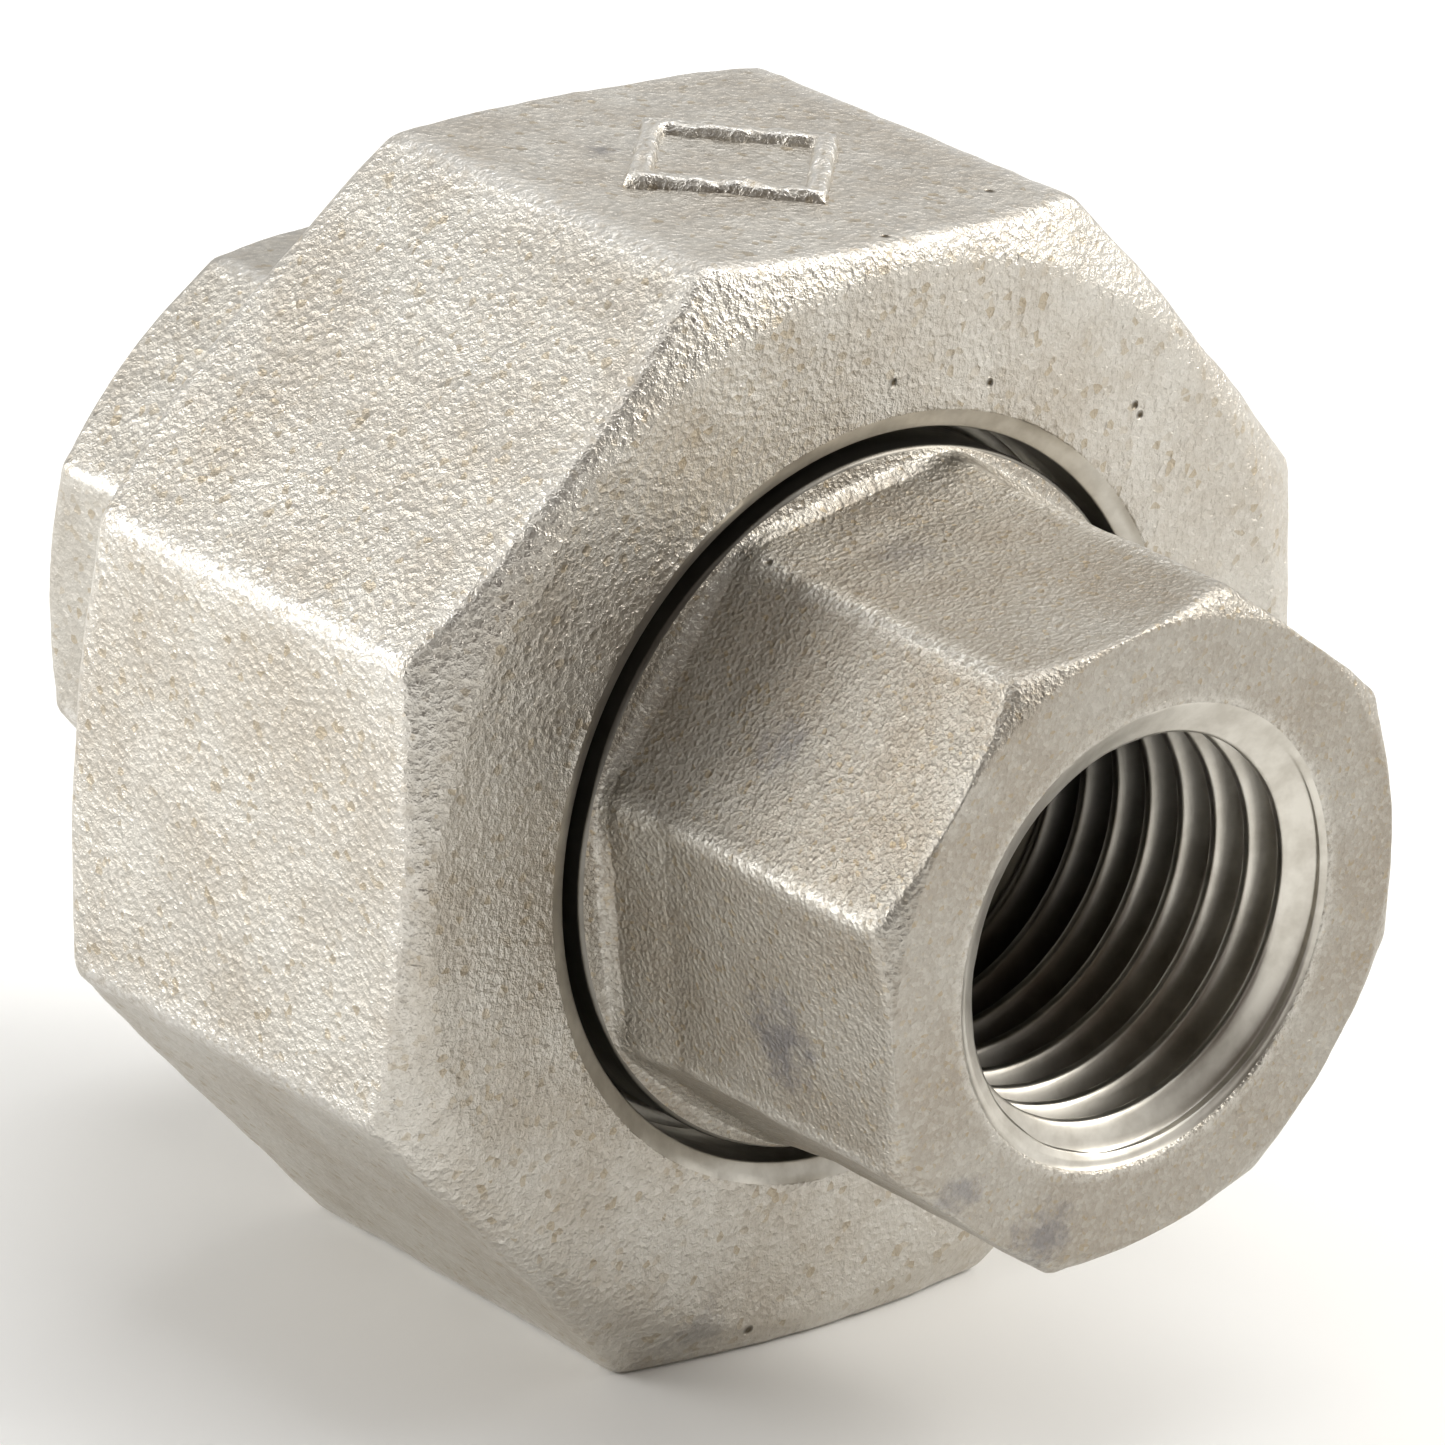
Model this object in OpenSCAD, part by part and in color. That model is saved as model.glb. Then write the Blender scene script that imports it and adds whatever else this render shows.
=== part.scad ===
// Pipe union with octagonal cast ends: two halves and a loose nut that draws
// them together on a flat ring gasket.
// Millimetres. The pipe axis lies along Y, the tailpiece points to -Y, +Z is up.
// The origin is under the middle of the union, level with the nut's bottom flat.
// Sizes build outwards from the pipe thread: end wall, collar, lip, flange, nut.

/* [Pipe threads and waterway] */
// Outside diameter of the quarter-inch parallel pipe thread
pipe_thread_d = 13.157; // [10:0.001:18]
// Pitch of the pipe thread, 19 threads to the inch
pipe_pitch = 1.337; // [0.9:0.001:1.8]
// Depth of each tapped hole from the face of its wrench end
pipe_thread_depth = 11.5; // [8:0.1:14]
// How far each countersink starts outside the pipe thread
countersink_margin = 0.22; // [0.1:0.01:0.6]
// Full angle of the countersinks
countersink_angle = 120; // [90:1:130]
// How much smaller the waterway's radius is than the tapped holes
waterway_step = 0.72; // [0.3:0.01:1.5]

/* [Wrench ends] */
// Wall between the countersink and the flats of a wrench end
end_wall = 2.45; // [2:0.05:4]
// Distance the tailpiece stands out in front of the nut
tail_reach = 11.5; // [9:0.1:18]
// Distance the threaded half stands out behind the nut
half_reach = 10.4; // [8:0.1:18]
// Depth of the turned chamfer on the corners of both wrench ends
end_chamfer_depth = 0.4; // [0.2:0.05:0.8]
// Turn of the tailpiece's flats against the nut's flats
tail_turn = -10.5; // [-22:0.5:22]
// Turn of the threaded half's flats against the nut's flats
half_turn = -2; // [-22:0.5:22]

/* [Tailpiece] */
// How far the round collar stands out past the corners of the wrench end
collar_ledge = 0.49; // [0.2:0.01:1]
// Length of the slope from the collar up to the flats
ledge_length = 1; // [0.5:0.1:2]
// How far the collar's front edge sits behind the nut's face
collar_recess = 0.25; // [0:0.05:1]
// How far the flange reaches out behind the nut's lip
lip_overlap = 1.7; // [1.2:0.05:3]
// Thickness of the tailpiece's flange
flange_thickness = 3; // [2:0.1:4]

/* [Nut] */
// Length of the nut along the pipe axis
nut_length = 15.5; // [12.5:0.1:22]
// Wall between the thread's root and the nut's flats
nut_wall = 2.45; // [1.8:0.05:5]
// Depth of the turned chamfer, measured along the axis at the nut's corners
nut_chamfer_depth = 1; // [0.3:0.1:1.5]
// Slope of the turned chamfers away from the end faces
chamfer_angle = 26; // [20:1:40]
// Thickness of the nut's inward lip
lip_thickness = 3; // [2:0.1:4.5]
// Width of the bevelled rim round the lip hole
lip_rim_width = 0.6; // [0.2:0.05:1]
// Depth of that bevelled rim
lip_rim_depth = 0.28; // [0.1:0.02:0.6]

/* [Union thread and gasket] */
// Pitch of the thread between nut and threaded half
union_pitch = 2; // [1.5:0.1:2.4]
// Length of bare thread left behind the nut
thread_tail = 1; // [0.5:0.1:2.5]
// Thickness of the ring gasket
gasket_thickness = 1.5; // [1:0.1:2.5]
// How far the gasket's rim sits inside the flange's rim
gasket_inset = 0.4; // [0.2:0.05:0.8]
// How far the gasket's hole stands back from the waterway
gasket_setback = 0.8; // [0.3:0.05:1.5]

/* [Clearances] */
// Radial gap between the collar and the lip hole
collar_gap = 0.4; // [0.2:0.05:0.8]
// Radial gap between the flange's rim and the crests of the nut's thread
flange_play = 0.3; // [0.15:0.05:0.6]
// Radial gap between the two engaged threads
thread_clearance = 0.05; // [0.03:0.01:0.1]
// Gap between faces that bear on each other
face_gap = 0.05; // [0.03:0.01:0.1]

/* [Edges and cast mark] */
// How much the sharp corners between flats are worn back
corner_easing = 0.1; // [0.05:0.05:0.3]
// Size of the small bevel along every outer edge of a flat
edge_bevel = 0.35; // [0.1:0.05:0.6]
// Width of the raised diamond on the nut's top flat, corner to corner
mark_width = 8; // [4:0.1:10]
// Width of the diamond's raised line
mark_line = 0.7; // [0.4:0.1:1.2]
// Height of the raised diamond over the flat
mark_height = 0.3; // [0.1:0.05:0.5]

/* [Hidden] */
$fn = 96;
FLATS = 8;
FLAT_TURN = 360 / FLATS;
HALF_TURN = FLAT_TURN / 2;
CUT = 0.5;

// Depth of a 55 degree pipe thread and of the union thread, as shares of pitch.
PIPE_THREAD_SHARE = 0.640327;
UNION_THREAD_SHARE = 0.55;

function corner_radius(flats) = flats / 2 / cos(HALF_TURN);

// Radii, from the waterway outwards.
tapped_r = pipe_thread_d / 2 - PIPE_THREAD_SHARE * pipe_pitch;
countersink_r = pipe_thread_d / 2 + countersink_margin;
countersink_depth = (countersink_r - tapped_r) / tan(countersink_angle / 2);
waterway_r = tapped_r - waterway_step;
end_flats = 2 * (countersink_r + end_wall);
collar_r = corner_radius(end_flats) + collar_ledge;
lip_hole_r = collar_r + collar_gap;
flange_r = lip_hole_r + lip_overlap;
gasket_r = flange_r - gasket_inset;
gasket_hole_r = waterway_r + gasket_setback;
union_minor_r = flange_r + flange_play;
union_major_r = union_minor_r + UNION_THREAD_SHARE * union_pitch;
union_mid_r = (union_minor_r + union_major_r) / 2;
nut_thread_r = union_mid_r + thread_clearance;
nut_root_r = union_major_r + thread_clearance;
nut_flats = 2 * (nut_root_r + nut_wall);
axis_height = nut_flats / 2;
overall_length = tail_reach + nut_length + half_reach;

// Positions along the pipe axis, measured from the tailpiece's front face.
nut_front = tail_reach;
nut_back = nut_front + nut_length;
lip_inside = nut_front + lip_thickness;
collar_front = nut_front + collar_recess;
flange_front = lip_inside + face_gap;
flange_back = flange_front + flange_thickness;
gasket_front = flange_back + face_gap;
gasket_back = gasket_front + gasket_thickness;
seat = gasket_back + face_gap;
thread_end = nut_back + thread_tail;

cast_steel = [0.72, 0.70, 0.67];
seal_white = [0.93, 0.93, 0.90];

// Turns a shape drawn along +Z from the tailpiece's face onto the pipe axis.
module on_pipe_axis() {
    translate([0, -overall_length / 2, axis_height])
        rotate([-90, 0, 0])
            children();
}

// Solid of revolution from an outline of [radius, distance] points.
module turned(outline) {
    rotate_extrude()
        polygon(outline);
}

// Straight octagonal bar from one distance to another, a flat facing +X.
module octagonal_bar(flats, from, to) {
    translate([0, 0, from])
        rotate([0, 0, HALF_TURN])
            linear_extrude(to - from)
                circle(corner_radius(flats), $fn = FLATS);
}

// Eight 45 degree bevels where the flats meet the end face at the given distance.
module flat_edge_bevels(flats, face) {
    side = sqrt(2) * edge_bevel;
    for (turn = [0 : FLAT_TURN : 360 - FLAT_TURN])
        rotate([0, 0, turn])
            translate([flats / 2, 0, face])
                rotate([0, 45, 0])
                    cube([side, flats, side], center = true);
}

// Outline of a chamfered round end, from the axis out to its eased corners.
// Side is 1 when the part lies beyond the face and -1 when it lies before it.
function chamfered_end(corner_r, face, depth, side) = [
    [0, face],
    [corner_r - depth / tan(chamfer_angle), face],
    [corner_r - corner_easing, face + side * (depth - corner_easing * tan(chamfer_angle))]
];

// Round envelope that chamfers and eases the corners of the nut.
module nut_envelope() {
    corner_r = corner_radius(nut_flats);
    front = chamfered_end(corner_r, nut_front, nut_chamfer_depth, 1);
    back = chamfered_end(corner_r, nut_back, nut_chamfer_depth, -1);
    turned([front[0], front[1], front[2], back[2], back[1], back[0]]);
}

// Lip hole with its rim, undercut behind the lip, threaded bore and its mouth.
module nut_bore() {
    mouth = union_pitch / 2;
    runout = union_pitch;
    turned([
        [0, nut_front - CUT],
        [lip_hole_r + lip_rim_width, nut_front - CUT],
        [lip_hole_r + lip_rim_width, nut_front],
        [lip_hole_r, nut_front + lip_rim_depth],
        [lip_hole_r, lip_inside],
        [nut_root_r, lip_inside],
        [nut_root_r, lip_inside + runout],
        [nut_thread_r, lip_inside + runout + nut_root_r - nut_thread_r],
        [nut_thread_r, nut_back - mouth],
        [nut_thread_r + mouth, nut_back],
        [nut_thread_r + mouth, nut_back + CUT],
        [0, nut_back + CUT]
    ]);
}

// Raised diamond outline, a plain foundry mark that stands for no maker.
module cast_mark() {
    outer_side = mark_width / sqrt(2);
    translate([0, -nut_flats / 2 + CUT, nut_front + nut_length / 2])
        rotate([90, 45, 0])
            linear_extrude(CUT + mark_height)
                difference() {
                    square(outer_side, center = true);
                    square(outer_side - 2 * mark_line, center = true);
                }
}

// Union nut, free to turn on the tailpiece and threaded onto the other half.
module union_nut() {
    color(cast_steel)
        on_pipe_axis() {
            difference() {
                intersection() {
                    octagonal_bar(nut_flats, nut_front, nut_back);
                    nut_envelope();
                }
                flat_edge_bevels(nut_flats, nut_front);
                flat_edge_bevels(nut_flats, nut_back);
                nut_bore();
            }
            cast_mark();
        }
}

// Octagonal wrench end from its outer face to its root inside the part.
module wrench_end(face, root, side) {
    corner_r = corner_radius(end_flats);
    rim = chamfered_end(corner_r, face, end_chamfer_depth, side);
    difference() {
        intersection() {
            octagonal_bar(end_flats, min(face, root), max(face, root));
            turned([rim[0], rim[1], rim[2], [corner_r - corner_easing, root], [0, root]]);
        }
        flat_edge_bevels(end_flats, face);
    }
}

// Countersunk tapped hole with its mouth at the given distance.
// It ends in a 45 degree drill cone down to the waterway.
module tapped_hole(face, side) {
    cone_end = pipe_thread_depth + waterway_step;
    turned([
        [0, face - side * CUT],
        [countersink_r, face - side * CUT],
        [countersink_r, face],
        [tapped_r, face + side * countersink_depth],
        [tapped_r, face + side * pipe_thread_depth],
        [waterway_r, face + side * cone_end],
        [0, face + side * cone_end]
    ]);
}

// Straight waterway through the middle of a part.
module waterway(from, to) {
    translate([0, 0, from])
        cylinder(r = waterway_r, h = to - from);
}

// Tailpiece: octagonal end, sloped ledge, round collar and clamping flange.
module tailpiece() {
    ledge_r = end_flats / 2;
    color(cast_steel)
        on_pipe_axis()
            difference() {
                union() {
                    rotate([0, 0, tail_turn])
                        wrench_end(0, flange_front, 1);
                    turned([
                        [0, collar_front - ledge_length],
                        [ledge_r, collar_front - ledge_length],
                        [collar_r, collar_front],
                        [collar_r, flange_front],
                        [flange_r - edge_bevel, flange_front],
                        [flange_r, flange_front + edge_bevel],
                        [flange_r, flange_back],
                        [0, flange_back]
                    ]);
                }
                tapped_hole(0, 1);
                waterway(pipe_thread_depth, flange_back + CUT);
            }
}

// Flat ring gasket clamped between flange and seat.
module gasket() {
    color(seal_white)
        on_pipe_axis()
            translate([0, 0, gasket_front])
                difference() {
                    cylinder(r = gasket_r, h = gasket_thickness);
                    translate([0, 0, -CUT])
                        cylinder(r = gasket_hole_r, h = gasket_thickness + 2 * CUT);
                }
}

// Threaded half: seat face, union thread, sloped shoulder and octagonal end.
module threaded_half() {
    lead = union_pitch / 2;
    shoulder_r = end_flats / 2;
    shoulder_end = thread_end + (union_mid_r - shoulder_r) / 2;
    color(cast_steel)
        on_pipe_axis()
            difference() {
                union() {
                    turned([
                        [0, seat],
                        [union_mid_r - lead, seat],
                        [union_mid_r, seat + lead],
                        [union_mid_r, thread_end],
                        [shoulder_r, shoulder_end],
                        [0, shoulder_end]
                    ]);
                    rotate([0, 0, half_turn])
                        wrench_end(overall_length, thread_end, -1);
                }
                tapped_hole(overall_length, -1);
                waterway(seat - CUT, overall_length - pipe_thread_depth);
            }
}

threaded_half();
union_nut();
tailpiece();
gasket();
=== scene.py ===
"""Pipe union with octagonal cast ends: meshes, finishes and studio.

Both halves, the nut and the seal ring are spun outlines whose rings follow
the octagons and the thread helices. Lengths in the classes are millimetres.
"""

import logging
import math
from dataclasses import dataclass, field
from enum import Enum
from functools import cache
from typing import Callable

import bmesh
import bpy
from mathutils import Matrix, Vector, noise


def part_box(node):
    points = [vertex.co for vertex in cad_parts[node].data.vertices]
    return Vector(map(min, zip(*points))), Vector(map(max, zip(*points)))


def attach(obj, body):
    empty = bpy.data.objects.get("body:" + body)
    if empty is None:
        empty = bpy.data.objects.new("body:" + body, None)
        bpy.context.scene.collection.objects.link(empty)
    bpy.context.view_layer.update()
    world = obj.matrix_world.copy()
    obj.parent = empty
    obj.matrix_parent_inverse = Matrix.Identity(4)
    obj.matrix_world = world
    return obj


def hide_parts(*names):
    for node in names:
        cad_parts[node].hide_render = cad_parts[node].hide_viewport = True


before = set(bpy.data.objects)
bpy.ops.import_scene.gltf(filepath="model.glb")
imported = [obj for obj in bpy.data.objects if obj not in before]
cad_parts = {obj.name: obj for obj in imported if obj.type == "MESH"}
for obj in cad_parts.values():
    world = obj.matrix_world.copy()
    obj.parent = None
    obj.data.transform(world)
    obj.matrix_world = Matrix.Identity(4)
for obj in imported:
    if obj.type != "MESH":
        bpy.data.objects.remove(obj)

log = logging.getLogger("pipe_union")

MM = 0.001
EIGHTH = math.radians(45.0)
HALF_EIGHTH = EIGHTH / 2.0
FULL_TURN = 2.0 * math.pi
CHAMFER_SLOPE = math.tan(math.radians(26.0))
ROUND_STEPS = 4
FLAT_CUTS = 23
BEND_CUTS = 9
UNION_PITCH = 2.0


class Skin(Enum):
    """How a stretch of a steel part was finished."""

    CAST = 0
    TURNED = 1
    # Tapped bores; this skin's finish carries painted shade deep in the bore, and the collar's
    # side takes it for its painted shadow.
    TAPPED = 2


# ---------------------------------------------------------------- finishes


def linear(code: str) -> tuple[float, float, float, float]:
    """Turns an sRGB hex colour into a linear one.

    Args:
        code: six hex digits.

    Returns:
        Linear red, green, blue and an alpha of one.
    """
    shares = [int(code[i : i + 2], 16) / 255.0 for i in (0, 2, 4)]
    low = [s / 12.92 for s in shares]
    high = [((s + 0.055) / 1.055) ** 2.4 for s in shares]
    red, green, blue = (a if s <= 0.04045 else b for s, a, b in zip(shares, low, high))
    return red, green, blue, 1.0


def add_node(
    tree: bpy.types.NodeTree,
    kind: str,
    inputs: dict[str | int, object],
    **settings: object,
) -> bpy.types.Node:
    """Adds one node, with its settings, fixed inputs and links.

    Args:
        tree: the node tree that gets the node.
        kind: the node's type name.
        inputs: a fixed value or another node's output for each input.
        settings: the node's own options.

    Returns:
        The new node.
    """
    node = tree.nodes.new(kind)
    for name, value in settings.items():
        setattr(node, name, value)
    for key, value in inputs.items():
        if isinstance(value, bpy.types.NodeSocket):
            tree.links.new(value, node.inputs[key])
        else:
            node.inputs[key].default_value = value
    return node


def per_metre(size_mm: float) -> float:
    """Texture scale whose features are about this many millimetres."""
    return 1.0 / (size_mm * MM)


def blank_material(name: str) -> tuple[bpy.types.Material, bpy.types.NodeTree]:
    """Makes a material with an empty node tree.

    Args:
        name: the material's name.

    Returns:
        The material and its node tree.
    """
    material = bpy.data.materials.new(name)
    material.use_nodes = True
    material.node_tree.nodes.clear()
    return material, material.node_tree


def finished(name: str, mesh: bmesh.types.BMesh) -> bpy.types.Object:
    """Puts a finished mesh into the scene as an object at the origin.

    Args:
        name: the piece's name.
        mesh: the mesh, which is freed.

    Returns:
        The new object.
    """
    data = bpy.data.meshes.new(name)
    mesh.to_mesh(data)
    mesh.free()
    piece = bpy.data.objects.new(name, data)
    bpy.context.scene.collection.objects.link(piece)
    return piece


@dataclass(frozen=True)
class Stain:
    """A blue-grey mark left on a casting by the pickling bath."""

    centre: tuple[float, float, float]
    radius: float
    strength: float


@dataclass(frozen=True)
class CastSteel:
    """Cast stainless steel, shot-blasted and pickled.

    The eye gets a warm light grey with a crinkled silver grain, tan flecks
    in the hollows, a few pinholes darkened with painted shade, dimples
    lightened at random as painted glints, and brighter edges, partly real
    rubbing and partly a painted highlight.
    """

    name: str
    body: str = "ccc8c0"
    shade: str = "beb7ac"
    fleck: str = "a08c66"
    # Pale colour for the edges, partly real rubbing and partly a painted highlight, and for the
    # painted glints.
    rubbed: str = "e2dfd9"
    stained: str = "6c6c74"
    # Dark colour inside the pinholes: painted shade.
    hole_dirt: str = "5c5242"
    grain: float = 0.18
    grain_depth: float = 0.025
    dimple: float = 0.23
    dimple_depth: float = 0.034
    blotch: float = 3.6
    pinhole: float = 2.6
    hole_depth: float = 0.12
    roughness: tuple[float, float] = (0.32, 0.54)
    stains: tuple[Stain, ...] = ()
    holes: tuple[tuple[float, float, float], ...] = ()

    def made(self) -> bpy.types.Material:
        """Builds the material.

        Returns:
            The material, ready to go on a piece.
        """
        material, tree = blank_material(self.name)
        place = add_node(tree, "ShaderNodeTexCoord", {}).outputs["Object"]
        grain = add_node(
            tree,
            "ShaderNodeTexNoise",
            {
                "Vector": place,
                "Scale": per_metre(self.grain * 1.6),
                "Detail": 3.0,
                "Roughness": 0.72,
            },
        ).outputs[0]
        shifted = add_node(
            tree,
            "ShaderNodeVectorMath",
            {0: grain, 1: (0.3 * self.dimple * MM,) * 3, 2: place},
            operation="MULTIPLY_ADD",
        ).outputs[0]
        peened = add_node(
            tree, "ShaderNodeTexVoronoi", {"Vector": shifted, "Scale": per_metre(self.dimple)}
        )
        dimple, tone = peened.outputs["Distance"], peened.outputs["Color"]
        blotch = add_node(
            tree,
            "ShaderNodeTexNoise",
            {"Vector": place, "Scale": per_metre(self.blotch), "Detail": 4.0, "Roughness": 0.6},
        ).outputs[0]
        colour = self._colour(tree, place, grain, blotch, tone)
        pits = self._pinholes(tree, place)
        # Painted shade: the pinholes are darkened, standing in for the shade inside them.
        colour = add_node(
            tree,
            "ShaderNodeMix",
            {0: pits, 6: colour, 7: linear(self.hole_dirt)},
            data_type="RGBA",
        ).outputs[2]
        rough = add_node(
            tree,
            "ShaderNodeMapRange",
            {0: grain, 1: 0.35, 2: 0.65, 3: self.roughness[1], 4: self.roughness[0]},
        ).outputs[0]
        peened_bump = add_node(
            tree, "ShaderNodeBump", {"Height": dimple, "Distance": self.dimple_depth * MM}
        ).outputs[0]
        grain_bump = add_node(
            tree,
            "ShaderNodeBump",
            {"Height": grain, "Distance": self.grain_depth * 4 * MM, "Normal": peened_bump},
        ).outputs[0]
        bump = add_node(
            tree,
            "ShaderNodeBump",
            {"Height": pits, "Distance": self.hole_depth * MM, "Normal": grain_bump},
            invert=True,
        ).outputs[0]
        shader = add_node(
            tree,
            "ShaderNodeBsdfPrincipled",
            {"Base Color": colour, "Roughness": rough, "Metallic": 1.0, "Normal": bump},
        )
        add_node(tree, "ShaderNodeOutputMaterial", {0: shader.outputs[0]})
        return material

    def _colour(
        self,
        tree: bpy.types.NodeTree,
        place: bpy.types.NodeSocket,
        grain: bpy.types.NodeSocket,
        blotch: bpy.types.NodeSocket,
        tone: bpy.types.NodeSocket,
    ) -> bpy.types.NodeSocket:
        """Mottled body colour with flecks, stains, painted glints, and edges lightened partly by
        real rubbing and partly as a painted highlight.

        Args:
            tree: the material's node tree.
            place: the coordinates that the patterns read.
            grain: the fine grain's height.
            blotch: the slow cloudy pattern.
            tone: a chance colour for each blasted dimple.

        Returns:
            The colour output.
        """
        chances = add_node(tree, "ShaderNodeSeparateColor", {0: tone})
        cloudy = add_node(tree, "ShaderNodeMapRange", {0: blotch, 1: 0.36, 2: 0.64}).outputs[0]
        colour = add_node(
            tree,
            "ShaderNodeMix",
            {0: cloudy, 6: linear(self.shade), 7: linear(self.body)},
            data_type="RGBA",
        ).outputs[2]
        # Painted glints: dimples picked at random are lightened towards the pale colour, standing
        # in for sparkle off the grain.
        glint = add_node(
            tree, "ShaderNodeMapRange", {0: chances.outputs[0], 1: 0.45, 2: 1.0, 4: 0.20}
        ).outputs[0]
        colour = add_node(
            tree,
            "ShaderNodeMix",
            {0: glint, 6: colour, 7: linear(self.rubbed)},
            data_type="RGBA",
        ).outputs[2]
        hollow = add_node(
            tree, "ShaderNodeMapRange", {0: chances.outputs[1], 1: 0.90, 2: 0.99, 4: 0.46}
        ).outputs[0]
        colour = add_node(
            tree,
            "ShaderNodeMix",
            {0: hollow, 6: colour, 7: linear(self.fleck)},
            data_type="RGBA",
        ).outputs[2]
        ragged = add_node(
            tree,
            "ShaderNodeTexNoise",
            {"Vector": place, "Scale": per_metre(0.7), "Detail": 4.0, "Roughness": 0.75},
        ).outputs[0]
        for stain in self.stains:
            gap = add_node(
                tree,
                "ShaderNodeVectorMath",
                {0: place, 1: tuple(c * MM for c in stain.centre)},
                operation="DISTANCE",
            ).outputs["Value"]
            uneven = add_node(
                tree,
                "ShaderNodeMath",
                {0: ragged, 1: -3.4 * stain.radius * MM, 2: gap},
                operation="MULTIPLY_ADD",
            ).outputs[0]
            rim, heart = -0.6 * stain.radius * MM, -1.5 * stain.radius * MM
            share = add_node(
                tree, "ShaderNodeMapRange", {0: uneven, 1: rim, 2: heart, 4: stain.strength}
            ).outputs[0]
            colour = add_node(
                tree,
                "ShaderNodeMix",
                {0: share, 6: colour, 7: linear(self.stained)},
                data_type="RGBA",
            ).outputs[2]
        # Edges are lightened by their weight: partly real rubbing, partly a painted highlight.
        wear = add_node(tree, "ShaderNodeAttribute", {}, attribute_name="wear").outputs["Fac"]
        broken = add_node(
            tree, "ShaderNodeMapRange", {0: grain, 1: 0.38, 2: 0.56, 3: 0.15, 4: 0.95}
        ).outputs[0]
        rubbed = add_node(
            tree, "ShaderNodeMath", {0: wear, 1: broken}, operation="MULTIPLY"
        ).outputs[0]
        return add_node(
            tree,
            "ShaderNodeMix",
            {0: rubbed, 6: colour, 7: linear(self.rubbed)},
            data_type="RGBA",
        ).outputs[2]

    def _pinholes(
        self, tree: bpy.types.NodeTree, place: bpy.types.NodeSocket
    ) -> bpy.types.NodeSocket:
        """Gas pinholes, in about one cell of the pattern in six, and the set ones.

        Args:
            tree: the material's node tree.
            place: the coordinates that the pattern reads.

        Returns:
            One inside a pinhole and zero elsewhere.
        """
        cells = add_node(
            tree, "ShaderNodeTexVoronoi", {"Vector": place, "Scale": per_metre(self.pinhole)}
        )
        near = add_node(
            tree,
            "ShaderNodeMapRange",
            {0: cells.outputs["Distance"], 1: 0.075, 2: 0.035},
        ).outputs[0]
        chance = add_node(
            tree, "ShaderNodeSeparateColor", {0: cells.outputs["Color"]}
        ).outputs[0]
        chosen = add_node(
            tree, "ShaderNodeMath", {0: chance, 1: 0.84}, operation="GREATER_THAN"
        ).outputs[0]
        pits = add_node(
            tree, "ShaderNodeMath", {0: near, 1: chosen}, operation="MULTIPLY"
        ).outputs[0]
        for hole in self.holes:
            gap = add_node(
                tree,
                "ShaderNodeVectorMath",
                {0: place, 1: tuple(c * MM for c in hole)},
                operation="DISTANCE",
            ).outputs["Value"]
            share = add_node(
                tree, "ShaderNodeMapRange", {0: gap, 1: 0.15 * MM, 2: 0.05 * MM}
            ).outputs[0]
            pits = add_node(
                tree, "ShaderNodeMath", {0: pits, 1: share}, operation="MAXIMUM"
            ).outputs[0]
        return pits


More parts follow.
